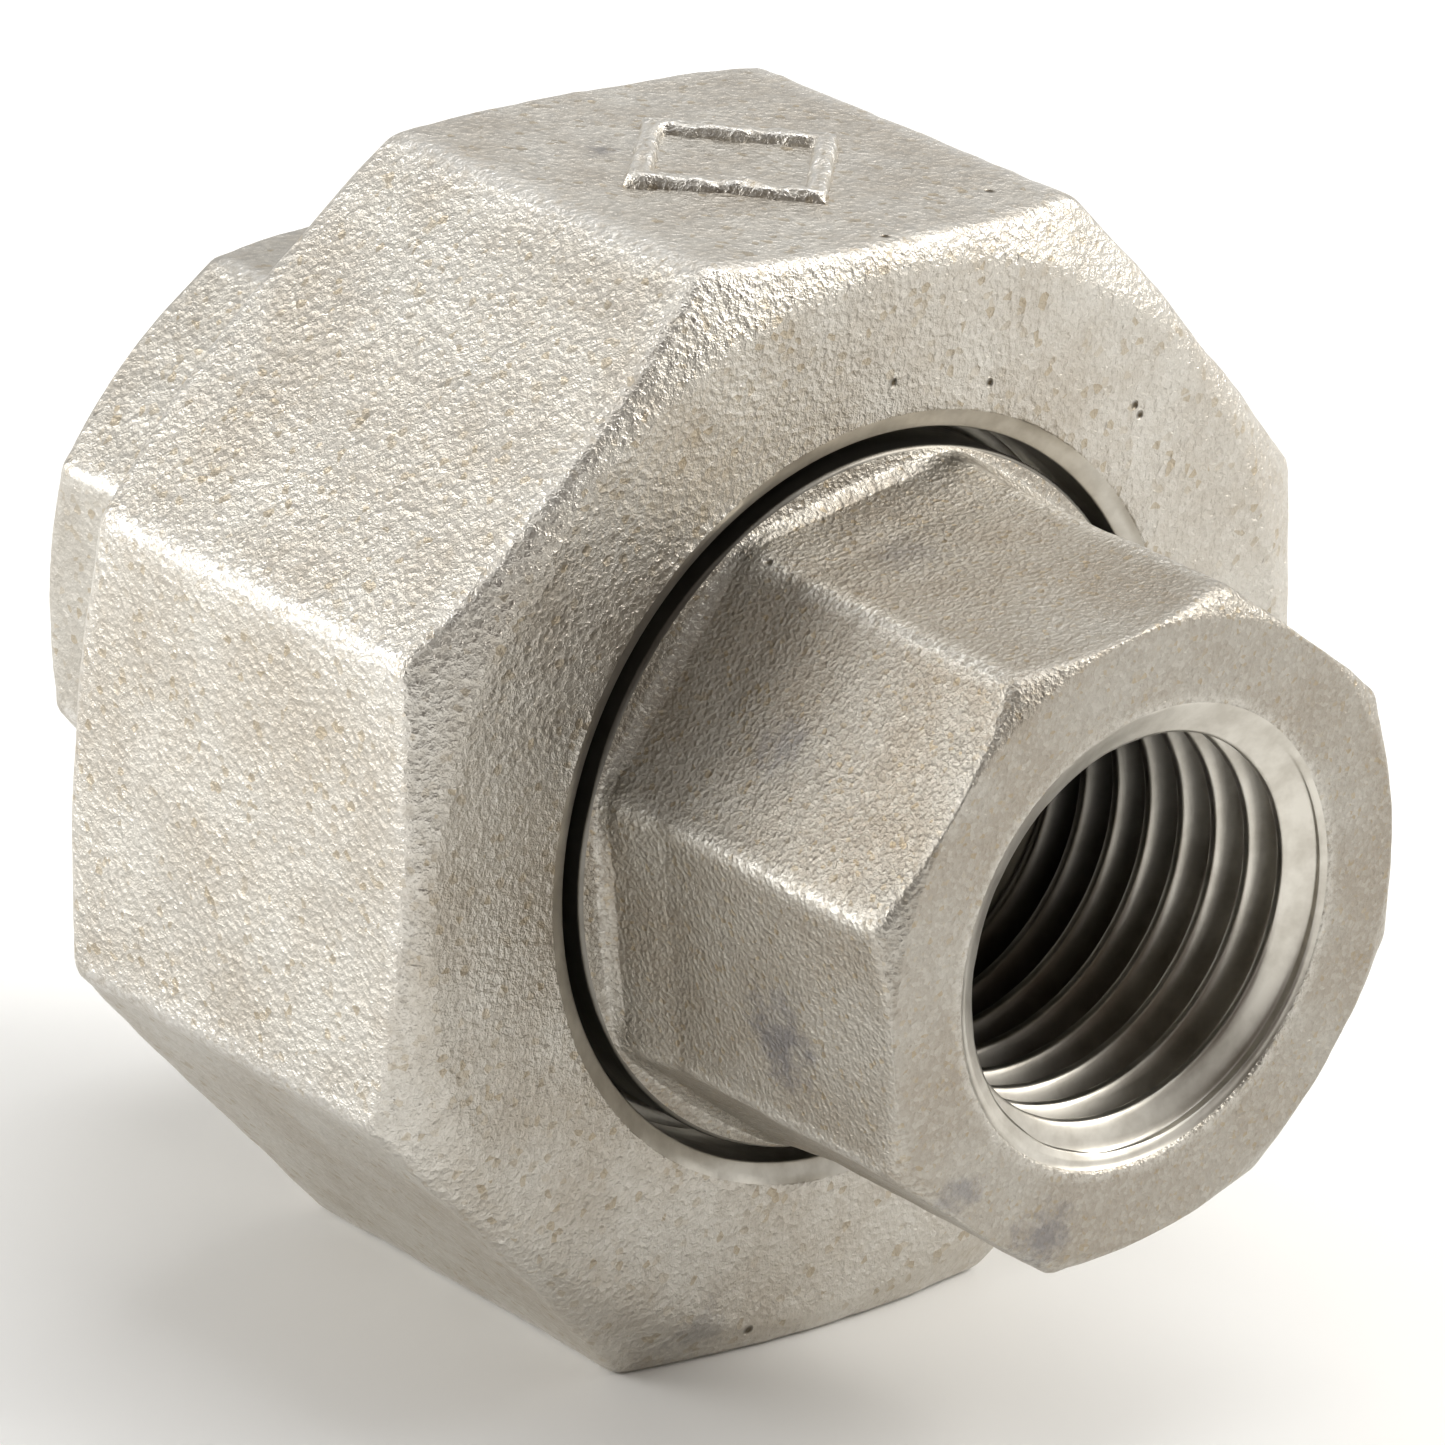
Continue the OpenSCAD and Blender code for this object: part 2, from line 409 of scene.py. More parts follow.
@dataclass(frozen=True)
class TurnedSteel:
    """Stainless steel, turned and tapped on a lathe.

    The eye gets a bright grey with fine tool lines round the axis and a soft
    sheen along them. Between the two places in depth the colour darkens
    towards a painted shade, where less light reaches deep in a bore.
    """

    name: str
    axis_height: float
    body: str = "d3cfc6"
    shade: str = "bcb7ad"
    # The two places along the axis between which the colour darkens to the painted deep shade.
    depth: tuple[float, float] = (0.0, 0.0)
    soot: str = "2b2620"
    soot_share: float = 0.70
    feed: float = 0.14
    roughness: tuple[float, float] = (0.30, 0.44)

    def made(self) -> bpy.types.Material:
        """Builds the material.

        Returns:
            The material, ready to go on a piece.
        """
        material, tree = blank_material(self.name)
        place = add_node(tree, "ShaderNodeTexCoord", {}).outputs["Object"]
        centred = add_node(
            tree,
            "ShaderNodeMapping",
            {"Vector": place, "Location": (0.0, 0.0, -self.axis_height * MM)},
        ).outputs[0]
        parts = add_node(tree, "ShaderNodeSeparateXYZ", {0: centred})
        flat = add_node(
            tree, "ShaderNodeCombineXYZ", {0: parts.outputs["X"], 1: parts.outputs["Z"]}
        ).outputs[0]
        reach = add_node(
            tree, "ShaderNodeVectorMath", {0: flat}, operation="LENGTH"
        ).outputs["Value"]
        across = add_node(
            tree, "ShaderNodeMath", {0: reach, 1: parts.outputs["Y"]}, operation="ADD"
        ).outputs[0]
        strip = add_node(tree, "ShaderNodeCombineXYZ", {0: across}).outputs[0]
        # Real feed lines lie about 0.05 mm apart and would not show, so these
        # are drawn as coarse as they need to show.
        lines = add_node(
            tree,
            "ShaderNodeTexNoise",
            {"Vector": strip, "Scale": per_metre(self.feed * 2), "Detail": 2.0},
        ).outputs[0]
        cloud = add_node(
            tree,
            "ShaderNodeTexNoise",
            {"Vector": place, "Scale": per_metre(1.4), "Detail": 4.0, "Roughness": 0.65},
        ).outputs[0]
        cloudy = add_node(tree, "ShaderNodeMapRange", {0: cloud, 1: 0.34, 2: 0.60}).outputs[0]
        colour = add_node(
            tree,
            "ShaderNodeMix",
            {0: cloudy, 6: linear(self.shade), 7: linear(self.body)},
            data_type="RGBA",
        ).outputs[2]
        if self.depth[0] != self.depth[1]:
            # Painted shade: the colour darkens with depth, deeper in the bore, where less light
            # reaches.
            clean, dirty = (place * MM for place in self.depth)
            down = add_node(
                tree,
                "ShaderNodeMapRange",
                {0: parts.outputs["Y"], 1: clean, 2: dirty, 4: self.soot_share},
            ).outputs[0]
            colour = add_node(
                tree,
                "ShaderNodeMix",
                {0: down, 6: colour, 7: linear(self.soot)},
                data_type="RGBA",
            ).outputs[2]
        rough = add_node(
            tree,
            "ShaderNodeMapRange",
            {0: lines, 1: 0.3, 2: 0.7, 3: self.roughness[0], 4: self.roughness[1]},
        ).outputs[0]
        bump = add_node(
            tree, "ShaderNodeBump", {"Height": lines, "Distance": 0.012 * MM}
        ).outputs[0]
        shader = add_node(
            tree,
            "ShaderNodeBsdfPrincipled",
            {"Base Color": colour, "Roughness": rough, "Metallic": 1.0, "Normal": bump},
        )
        add_node(tree, "ShaderNodeOutputMaterial", {0: shader.outputs[0]})
        return material


@dataclass(frozen=True)
class SkivedSeal:
    """PTFE sheet, cut to a ring on a lathe.

    The eye gets a waxy milk white with faint skiving lines.
    """

    name: str
    body: str = "efeee8"
    shade: str = "dddbd2"

    def made(self) -> bpy.types.Material:
        """Builds the material.

        Returns:
            The material, ready to go on a piece.
        """
        material, tree = blank_material(self.name)
        place = add_node(tree, "ShaderNodeTexCoord", {}).outputs["Object"]
        streak = add_node(
            tree,
            "ShaderNodeMapping",
            {"Vector": place, "Scale": (per_metre(0.5), per_metre(0.12), per_metre(0.5))},
        ).outputs[0]
        lines = add_node(
            tree, "ShaderNodeTexNoise", {"Vector": streak, "Scale": 1.0, "Detail": 3.0}
        ).outputs[0]
        colour = add_node(
            tree,
            "ShaderNodeMix",
            {0: lines, 6: linear(self.shade), 7: linear(self.body)},
            data_type="RGBA",
        ).outputs[2]
        bump = add_node(
            tree, "ShaderNodeBump", {"Height": lines, "Distance": 0.01 * MM}
        ).outputs[0]
        shader = add_node(
            tree,
            "ShaderNodeBsdfPrincipled",
            {"Base Color": colour, "Roughness": 0.42, "IOR": 1.35, "Normal": bump},
        )
        add_node(tree, "ShaderNodeOutputMaterial", {0: shader.outputs[0]})
        return material


# ---------------------------------------------------------------- outlines


@cache
def span(node: str) -> tuple[float, float]:
    """Where a CAD node begins and ends along the pipe axis.

    Args:
        node: the CAD node's name.

    Returns:
        Its lowest and highest place, in millimetres.
    """
    low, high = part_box(node)
    return low.y / MM, high.y / MM


@dataclass(frozen=True)
class Octagon:
    """Octagonal bar round the pipe axis with rounded long edges."""

    flats: float
    rounding: float
    turn: float = 0.0

    def reach(self, angle: float) -> float:
        """Distance from the axis to the bar's surface.

        Args:
            angle: direction round the axis, in radians.

        Returns:
            The distance in millimetres.
        """
        half = self.flats / 2.0
        off = self.off_flat(angle)
        straight = (half - self.rounding) * math.tan(HALF_EIGHTH)
        if abs(off) <= math.atan2(straight, half):
            return half / math.cos(off)
        centre = (half - self.rounding) / math.cos(HALF_EIGHTH)
        side = HALF_EIGHTH - abs(off)
        root = self.rounding**2 - (centre * math.sin(side)) ** 2
        return centre * math.cos(side) + math.sqrt(max(root, 0.0))

    def off_flat(self, angle: float) -> float:
        """Angle from the middle of the nearest flat, in radians."""
        return (angle - math.radians(self.turn) + HALF_EIGHTH) % EIGHTH - HALF_EIGHTH

    def edge_share(self, angle: float) -> float:
        """How much of a long edge lies in this direction.

        Args:
            angle: direction round the axis, in radians.

        Returns:
            Nought on the flats, up to one on the edge.
        """
        half = self.flats / 2.0
        gap = (HALF_EIGHTH - abs(self.off_flat(angle))) * half
        return max(0.0, 1.0 - gap / (0.62 * self.rounding))

    def directions(self) -> list[float]:
        """Directions for the lengthwise edges, close together on the corners.

        Returns:
            256 increasing angles, in radians.
        """
        half = self.flats / 2.0
        bend = HALF_EIGHTH - math.atan2((half - self.rounding) * math.tan(HALF_EIGHTH), half)
        flat_end = HALF_EIGHTH - bend
        steps = [-flat_end + 2.0 * flat_end * i / FLAT_CUTS for i in range(FLAT_CUTS + 1)]
        steps += [flat_end + 2.0 * bend * i / BEND_CUTS for i in range(1, BEND_CUTS)]
        start = math.radians(self.turn)
        return [start + EIGHTH * k + s for k in range(8) for s in steps]


@dataclass(frozen=True)
class Thread:
    """Right-hand thread round the pipe axis."""

    pitch: float
    inner: float
    outer: float
    start: float = 0.0
    samples: int = 20

    def radius(self, angle: float, along: float) -> float:
        """Radius of the thread's surface.

        Args:
            angle: direction round the axis, in radians.
            along: place along the pipe axis.

        Returns:
            The radius in millimetres.
        """
        turns = (along - self.start) / self.pitch + angle / FULL_TURN
        ramp = abs(2.0 * (turns % 1.0) - 1.0)
        share = min(max((ramp - 1.0 / 6.0) * 1.5, 0.0), 1.0)
        share = 0.55 * share + 0.45 * share * share * (3.0 - 2.0 * share)
        return self.inner + (self.outer - self.inner) * share

    def rings(self, low: float, high: float) -> int:
        """How many straight pieces a threaded stretch needs."""
        return max(2, round(abs(high - low) / self.pitch * self.samples))


@dataclass(frozen=True)
class Corner:
    """A corner of an outline and the stretch from it to the next corner.

    The corner lies at radius and along, and blend is its rounding. The
    stretch has cuts pieces and this skin, wave is its unevenness, and shape
    bends it. The edge weight is how far the corner is lightened, partly as
    real rubbing and partly as a painted highlight, and a barred stretch gets
    it on the octagon's long edges.
    """

    radius: float
    along: float
    blend: float = 0.0
    cuts: int = 1
    skin: Skin = Skin.CAST
    wave: float = 0.0
    wear: float = 0.0
    shape: Callable[[float, float], float] | None = None
    barred: bool = False


@dataclass
class Ring:
    """One point of the outline in one direction round the axis."""

    radius: float
    along: float
    skin: Skin
    wave: float
    wear: float
    barred: bool = False


def rounded(corners: list[Corner], angle: float) -> list[Ring]:
    """Cuts a closed outline into rings, with its corners rounded.

    Args:
        corners: the outline's corners in order.
        angle: direction round the axis, for the threads.

    Returns:
        The rings' points, as many in every direction.
    """
    count = len(corners)
    entries: list[Vector] = []
    exits: list[Vector] = []
    arcs: list[list[Vector]] = []
    for i, corner in enumerate(corners):
        here = Vector((corner.radius, corner.along))
        before, after = corners[i - 1], corners[(i + 1) % count]
        back = Vector((before.radius, before.along)) - here
        ahead = Vector((after.radius, after.along)) - here
        if corner.blend <= 0.0 or back.length < 1e-6 or ahead.length < 1e-6:
            steps = ROUND_STEPS if corner.blend > 0.0 else 0
            entries.append(here)
            exits.append(here)
            arcs.append([here.copy() for _ in range(steps + 1)])
            continue
        reach = min(back.length, ahead.length) * 0.48
        u, v = back.normalized(), ahead.normalized()
        turn = math.pi - math.acos(max(-1.0, min(1.0, u.dot(v))))
        length = min(reach, corner.blend * math.tan(turn / 2.0))
        first, last = here + u * length, here + v * length
        points = []
        for k in range(ROUND_STEPS + 1):
            t = k / ROUND_STEPS
            weight = 2.0 * t * (1.0 - t) * math.cos(turn / 2.0)
            total = (1.0 - t) ** 2 + weight + t * t
            points.append((first * (1.0 - t) ** 2 + here * weight + last * t * t) / total)
        entries.append(first)
        exits.append(last)
        arcs.append(points)
    rings: list[Ring] = []
    for i, corner in enumerate(corners):
        before = corners[i - 1]
        for k, point in enumerate(arcs[i]):
            share = k / max(len(arcs[i]) - 1, 1)
            wave = before.wave + (corner.wave - before.wave) * share
            rings.append(Ring(point.x, point.y, corner.skin, wave, corner.wear))
        start, end = exits[i], entries[(i + 1) % count]
        for k in range(1, corner.cuts):
            point = start.lerp(end, k / corner.cuts)
            radius = corner.shape(angle, point.y) if corner.shape else point.x
            rings.append(Ring(radius, point.y, corner.skin, corner.wave, 0.0, corner.barred))
    return rings


def tube(rings: int, steps: int, centre: Vector, axis: Vector) -> bmesh.types.BMesh:
    """Spins a closed chain of points into a plain tube of quads.

    Args:
        rings: how many points the chain has.
        steps: how many directions there are round the axis.
        centre: a point on the axis, in metres.
        axis: the axis that the chain turns about.

    Returns:
        The tube, with each point's place in the chain in the layer "ring".
    """
    mesh = bmesh.new()
    ring_of = mesh.verts.layers.int.new("ring")
    mesh.verts.layers.float.new("wear")
    chain = []
    for i in range(rings):
        # A plain stack at first, so that no two points share a place.
        vert = mesh.verts.new(centre + Vector((0.01, 0.0, 0.0)) + axis * (i * 1e-4))
        vert[ring_of] = i
        chain.append(vert)
    edges = [mesh.edges.new((chain[i - 1], chain[i])) for i in range(rings)]
    bmesh.ops.spin(
        mesh,
        geom=chain + edges,
        cent=centre,
        axis=axis,
        angle=FULL_TURN,
        steps=steps,
        use_merge=True,
    )
    return mesh


def outwards(mesh: bmesh.types.BMesh) -> None:
    """Turns all faces outwards, once the points are in their places.

    Args:
        mesh: the closed mesh to turn.
    """
    mesh.normal_update()
    bmesh.ops.recalc_face_normals(mesh, faces=mesh.faces)
    mesh.normal_update()


def swell(spot: Vector) -> float:
    """Height of a casting's slow unevenness at a place in millimetres."""
    slow = noise.noise(spot * 0.32) + 0.55 * noise.noise(spot * 0.9)
    return slow + 0.38 * noise.noise(spot * 2.1)


def spun(
    name: str,
    outline: Callable[[float], list[Corner]],
    octagon: Octagon,
    axis_height: float,
    seed: float,
) -> bpy.types.Object:
    """Spins an outline round the pipe axis and shapes each of its rings.

    Args:
        name: the piece's name.
        outline: gives the outline's corners in one direction.
        octagon: the octagon whose corners get the closest edges.
        axis_height: height of the pipe axis.
        seed: shifts the casting's unevenness.

    Returns:
        The finished object, at the origin.
    """
    angles = octagon.directions()
    steps = len(angles)
    sections = [rounded(outline(a), a) for a in angles]
    first = sections[0]
    centre = Vector((0.0, 0.0, axis_height * MM))
    mesh = tube(len(first), steps, centre, Vector((0.0, -1.0, 0.0)))
    ring_of = mesh.verts.layers.int["ring"]
    wear_of = mesh.verts.layers.float["wear"]
    waves: dict[int, float] = {}
    mesh.verts.index_update()
    for vert in mesh.verts:
        turned = math.atan2(vert.co.z - centre.z, vert.co.x) / FULL_TURN
        step = round(turned * steps) % steps
        point = sections[step][vert[ring_of]]
        angle = angles[step]
        across = point.radius * math.cos(angle)
        up = axis_height + point.radius * math.sin(angle)
        vert.co = Vector((across * MM, point.along * MM, up * MM))
        waves[vert.index] = point.wave
        # Edge weight: real rubbing plus a painted highlight, on corners and on the long edges of
        # barred stretches.
        side = octagon.edge_share(angle) if point.barred else 0.0
        vert[wear_of] = max(point.wear, min(1.0, side * 1.6))
    last_ring = len(first) - 1
    for face in mesh.faces:
        ids = {v[ring_of] for v in face.verts}
        ring = last_ring if ids == {0, last_ring} else min(ids)
        face.material_index = first[ring].skin.value
        face.smooth = True
    outwards(mesh)
    shift = Vector((seed, seed * 2.0, seed * 3.0))
    for vert in mesh.verts:
        wave = waves[vert.index]
        if wave > 0.0:
            vert.co += vert.normal * (swell(vert.co / MM + shift) * wave * MM)
    return finished(name, mesh)


# ---------------------------------------------------------------- the union


@dataclass(frozen=True)
class WrenchEnd:
    """Sizes that both octagonal ends and their tapped holes share."""

    flats: float = 18.497
    rounding: float = 0.55
    face_radius: float = 9.19
    edge_blend: float = 0.5
    mouth_radius: float = 6.80
    mouth_slope: float = math.tan(math.radians(60.0))
    crest_radius: float = 5.7224
    root_radius: float = 6.5785
    pitch: float = 1.337
    mouth_depth: float = 0.62
    thread_depth: float = 11.5
    run_out: float = 1.2
    drill_tip: float = 0.72
    waterway_radius: float = 5.0024

    def mouth(self, face: float, side: int, thread: Thread) -> Callable[[float, float], float]:
        """Shape of the tapped hole, with its countersink and its last turn.

        Args:
            face: place of the end face along the axis.
            side: 1 if the hole runs towards +Y and -1 if towards -Y.
            thread: the hole's thread.

        Returns:
            A function from direction and place to radius.
        """

        def radius(angle: float, along: float) -> float:
            """Radius of the hole's wall.

            Args:
                angle: direction round the axis, in radians.
                along: place along the pipe axis.

            Returns:
                The radius in millimetres.
            """
            depth = (along - face) * side
            cone = self.mouth_radius - depth * self.mouth_slope
            fade = min(1.0, max(0.0, (self.thread_depth - depth) / self.run_out))
            crest = self.crest_radius
            cut = crest + (thread.radius(angle, along) - crest) * fade
            return max(cone, cut)

        return radius


@dataclass
class Tailpiece:
    """Front half: octagonal end, sloped ledge, collar and clamping flange."""

    axis_height: float
    finishes: list[bpy.types.Material]
    end: WrenchEnd = field(default_factory=WrenchEnd)
    turn: float = 10.5
    collar_radius: float = 10.42
    ledge_length: float = 0.5
    bevel_share: float = 0.36
    bevel_rise: float = 0.36
    flare: float = 0.55
    flare_length: float = 2.0
    root_rounding: float = 1.7
    collar_recess: float = 0.15
    flange_thickness: float = 3.0
    flange_radius: float = 12.60

    def outline(self, angle: float) -> list[Corner]:
        """Outline of the tailpiece in one direction.

        Args:
            angle: direction round the axis, in radians.

        Returns:
            The corners, from the countersink outwards and back.
        """
        end = self.end
        face, back = span("tailpiece")
        bar = self.octagon().reach(angle)
        bevel = (bar - end.face_radius) * CHAMFER_SLOPE
        root = Octagon(end.flats + self.flare, self.root_rounding, self.turn).reach(angle)
        collar = self.collar_radius
        collar_front = span("union_nut")[0] + self.collar_recess
        ledge = collar_front - self.ledge_length
        strip = root + self.bevel_share * (collar - root)
        flange_front = back - self.flange_thickness
        drill = face + end.thread_depth
        thread = Thread(end.pitch, end.crest_radius, end.root_radius, face + 0.2, 24)
        shape = end.mouth(face, 1, thread)
        sunk = face + end.mouth_depth
        turns = thread.rings(sunk, drill)
        cast, turned, tapped = Skin.CAST, Skin.TURNED, Skin.TAPPED
        return [
            Corner(end.mouth_radius, face, 0.14, 7, cast, 0.035, 0.5),
            Corner(end.face_radius, face, 0.25, 1, cast, 0.045),
            Corner(bar, face + bevel, end.edge_blend, 22, cast, 0.045, 0.3, barred=True),
            Corner(bar, ledge - self.flare_length, 1.6, 4, cast, 0.04, barred=True),
            Corner(root, ledge, 0.12, 1, cast, 0.015),
            Corner(strip, ledge + self.bevel_rise, 0.1, 2, cast, 0.012, 0.5),
            # Painted shade: the collar's side takes the darkened bore finish, standing in for the
            # shadow in the gap under the nut's lip.
            Corner(collar, collar_front, 0.16, 5, tapped),
            Corner(collar, flange_front, 0.2, 3, turned),
            Corner(self.flange_radius, flange_front, 0.3, 4, turned),
            Corner(self.flange_radius, back, 0.2, 8, turned),
            Corner(end.waterway_radius, back, 0.25, 6, tapped),
            Corner(end.waterway_radius, drill + end.drill_tip, 0.1, 2, tapped),
            Corner(end.crest_radius, drill, 0.1, turns, tapped, shape=shape),
            Corner(shape(angle, sunk), sunk, 0.0, 12, turned, shape=shape),
        ]

    def octagon(self) -> Octagon:
        """The wrench end's octagon."""
        return Octagon(self.end.flats, self.end.rounding, self.turn)

    def build(self) -> list[bpy.types.Object]:
        """Builds and dresses the tailpiece.

        Returns:
            The finished pieces.
        """
        piece = spun("tailpiece_casting", self.outline, self.octagon(), self.axis_height, 11.3)
        for finish in self.finishes:
            piece.data.materials.append(finish)
        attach(piece, "tailpiece")
        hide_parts("tailpiece")
        return [piece]


@dataclass
class ThreadedHalf:
    """Back half: seat face, union thread, sloped shoulder and octagonal end."""

    axis_height: float
    finishes: list[bpy.types.Material]
    thread: Thread
    end: WrenchEnd = field(default_factory=WrenchEnd)
    turn: float = 2.0
    lead_radius: float = 12.40
    thread_tail: float = 1.0
    run_out: float = 0.8
    shoulder_radius: float = 13.45

    def octagon(self) -> Octagon:
        """The wrench end's octagon."""
        return Octagon(self.end.flats, self.end.rounding, self.turn)

    def outline(self, angle: float) -> list[Corner]:
        """Outline of the threaded half in one direction.

        Args:
            angle: direction round the axis, in radians.

        Returns:
            The corners, from the waterway outwards and back.
        """
        end = self.end
        seat, face = span("threaded_half")
        bar = self.octagon().reach(angle)
        bevel = (bar - end.face_radius) * CHAMFER_SLOPE
        plain = self.shoulder_radius
        thread_end = span("union_nut")[1] + self.thread_tail
        meet = thread_end + (plain - bar) / 2.0
        drill = face - end.thread_depth
        bore = Thread(end.pitch, end.crest_radius, end.root_radius, face, 16)
        shape = end.mouth(face, -1, bore)
        sunk = face - end.mouth_depth
        bore_turns = bore.rings(sunk, drill)
        turns = self.thread.rings(seat, thread_end)
        cast, turned = Skin.CAST, Skin.TURNED

        def crest(angle: float, along: float) -> float:
            """Radius of the union thread, with its lead-in and run-out.

            Args:
                angle: direction round the axis, in radians.
                along: place along the pipe axis.

            Returns:
                The radius in millimetres.
            """
            fade = min(1.0, max(0.0, (thread_end - along) / self.run_out))
            cut = plain + (self.thread.radius(angle, along) - plain) * fade
            return min(self.lead_radius + (along - seat), cut)

        return [
            Corner(end.waterway_radius, seat, 0.2, 9, turned),
            Corner(self.lead_radius, seat, 0.12, turns, turned, shape=crest),
            Corner(plain, thread_end, 0.3, 7, cast, 0.03, 0.3),
            Corner(bar, meet, 0.9, 18, cast, 0.045, barred=True),
            Corner(bar, face - bevel, end.edge_blend, 1, cast, 0.035, 0.3),
            Corner(end.face_radius, face, 0.25, 7, cast, 0.045),
            Corner(end.mouth_radius, face, 0.14, 8, cast, shape=shape),
            Corner(shape(angle, sunk), sunk, 0.0, bore_turns, turned, shape=shape),
            Corner(end.crest_radius, drill, 0.1, 2, turned),
            Corner(end.waterway_radius, drill - end.drill_tip, 0.1, 6, turned),
        ]

    def build(self) -> list[bpy.types.Object]:
        """Builds and dresses the threaded half.

        Returns:
            The finished pieces.
        """
        octagon = self.octagon()
        piece = spun("threaded_half_casting", self.outline, octagon, self.axis_height, 47.9)
        for finish in self.finishes:
            piece.data.materials.append(finish)
        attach(piece, "threaded_half")
        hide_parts("threaded_half")
        return [piece]


@dataclass
class UnionNut:
    """Octagonal nut with a lip, an internal thread and a raised diamond."""

    axis_height: float
    finishes: list[bpy.types.Material]
    thread: Thread
    flats: float = 33.001
    rounding: float = 0.85
    face_radius: float = 15.80
    edge_blend: float = 0.5
    rim_radius: float = 11.50
    rim_depth: float = 0.28
    hole_radius: float = 10.90
    lip: float = 3.0
    undercut: float = 2.0
    mouth_radius: float = 14.50
    mark_width: float = 8.0
    mark_line: float = 0.7
    mark_height: float = 0.3
    mark_root: float = 0.35
    mark_bank: float = 0.12
    mark_steps: int = 128

    def octagon(self) -> Octagon:
        """The nut's octagon."""
        return Octagon(self.flats, self.rounding)

    def ends(self) -> tuple[float, float]:
        """Places of the nut's two faces along the pipe axis."""
        return span("union_nut")

    def outline(self, angle: float) -> list[Corner]:
        """Outline of the nut in one direction.

        Args:
            angle: direction round the axis, in radians.

        Returns:
            The corners, from the rim of the lip hole outwards and back.
        """
        front, back = self.ends()
        reach = self.octagon().reach(angle)
        drop = (reach - self.face_radius) * CHAMFER_SLOPE
        inside = front + self.lip
        root = self.thread.outer
        turns = self.thread.rings(inside, back)
        cast, turned = Skin.CAST, Skin.TURNED

        def wall(angle: float, along: float) -> float:
            """Radius of the threaded bore, with its mouth and undercut.

            Args:
                angle: direction round the axis, in radians.
                along: place along the pipe axis.

            Returns:
                The radius in millimetres.
            """
            mouth = self.mouth_radius - (back - along)
            relief = root - max(0.0, along - inside - self.undercut)
            return max(mouth, relief, self.thread.radius(angle, along))

        return [
            Corner(self.rim_radius, front, 0.12, 11, cast, 0.055),
            Corner(self.face_radius, front, 1.1, 1, cast, 0.07),
            Corner(reach, front + drop, self.edge_blend, 34, cast, 0.065, 0.35, barred=True),
            Corner(reach, back - drop, self.edge_blend, 1, cast, 0.05, 0.35),
            Corner(self.face_radius, back, 1.1, 3, cast, 0.05),
            Corner(self.mouth_radius, back, 0.12, turns, turned, shape=wall),
            Corner(root, inside, 0.15, 4, turned),
            Corner(self.hole_radius, inside, 0.12, 4, turned),
            Corner(self.hole_radius, front + self.rim_depth, 0.1, 2, turned, 0.0, 0.4),
        ]

    def mark_outline(self, angle: float) -> list[Corner]:
        """Section through the diamond's raised line in one direction.

        Args:
            angle: direction round the diamond's middle, in radians.

        Returns:
            Corners whose radius runs outwards and whose place runs upwards.
        """
        off = angle % (math.pi / 2.0) - math.pi / 4.0
        middle = self.mark_width / 2.0 / math.sqrt(2.0) - self.mark_line / 2.0
        stretch = 1.0 / math.cos(off)
        inner = (middle - self.mark_line / 2.0) * stretch
        outer = (middle + self.mark_line / 2.0) * stretch
        rise, sunk = self.mark_height, -self.mark_root
        bank = self.mark_bank * stretch
        return [
            Corner(inner, sunk),
            Corner(inner, 0.0),
            Corner(inner + bank, rise, 0.16, 2, Skin.CAST, 0.05, 1.0),
            Corner(outer - bank, rise, 0.16, 1, Skin.CAST, 0.05, 1.0),
            Corner(outer, 0.0),
            Corner(outer, sunk),
        ]

    def mark(self) -> bpy.types.Object:
        """Raised diamond outline on the nut's top flat.

        Returns:
            The diamond, sunk a little into the flat.
        """
        steps = self.mark_steps
        angles = [FULL_TURN * i / steps for i in range(steps)]
        sections = [rounded(self.mark_outline(a), a) for a in angles]
        mesh = tube(len(sections[0]), steps, Vector(), Vector((0.0, 0.0, 1.0)))
        ring_of = mesh.verts.layers.int["ring"]
        wear_of = mesh.verts.layers.float["wear"]
        front, back = self.ends()
        middle = Vector((0.0, (front + back) / 2.0, self.axis_height + self.flats / 2.0))
        for vert in mesh.verts:
            step = round(math.atan2(vert.co.y, vert.co.x) / FULL_TURN * steps) % steps
            point = sections[step][vert[ring_of]]
            angle = angles[step]
            spot = Vector((math.cos(angle), math.sin(angle), 0.0)) * point.radius
            lift = 1.0 + 0.45 * noise.noise(spot * 1.3 + Vector((3, 5, 7)))
            height = point.along * (lift if point.along > 0.0 else 1.0)
            place = spot + self.ripple(spot) + middle + Vector((0.0, 0.0, height))
            vert.co = place * MM
            vert[wear_of] = point.wear
        for face in mesh.faces:
            face.smooth = True
        outwards(mesh)
        return finished("nut_foundry_diamond", mesh)

    def ripple(self, spot: Vector) -> Vector:
        """Sideways waver of the diamond's line.

        Args:
            spot: place on the flat, from the diamond's middle.

        Returns:
            The shift in millimetres.
        """
        across = noise.noise(spot * 1.7)
        along = noise.noise(spot * 1.7 + Vector((9, 9, 9)))
        return Vector((across, along, 0.0)) * 0.13

    def build(self) -> list[bpy.types.Object]:
        """Builds and dresses the nut and its diamond.

        Returns:
            The finished pieces.
        """
        nut = spun("union_nut_casting", self.outline, self.octagon(), self.axis_height, 5.1)
        diamond = self.mark()
        for piece in (nut, diamond):
            for finish in self.finishes:
                piece.data.materials.append(finish)
            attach(piece, "union_nut")
        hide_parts("union_nut")
        return [nut, diamond]


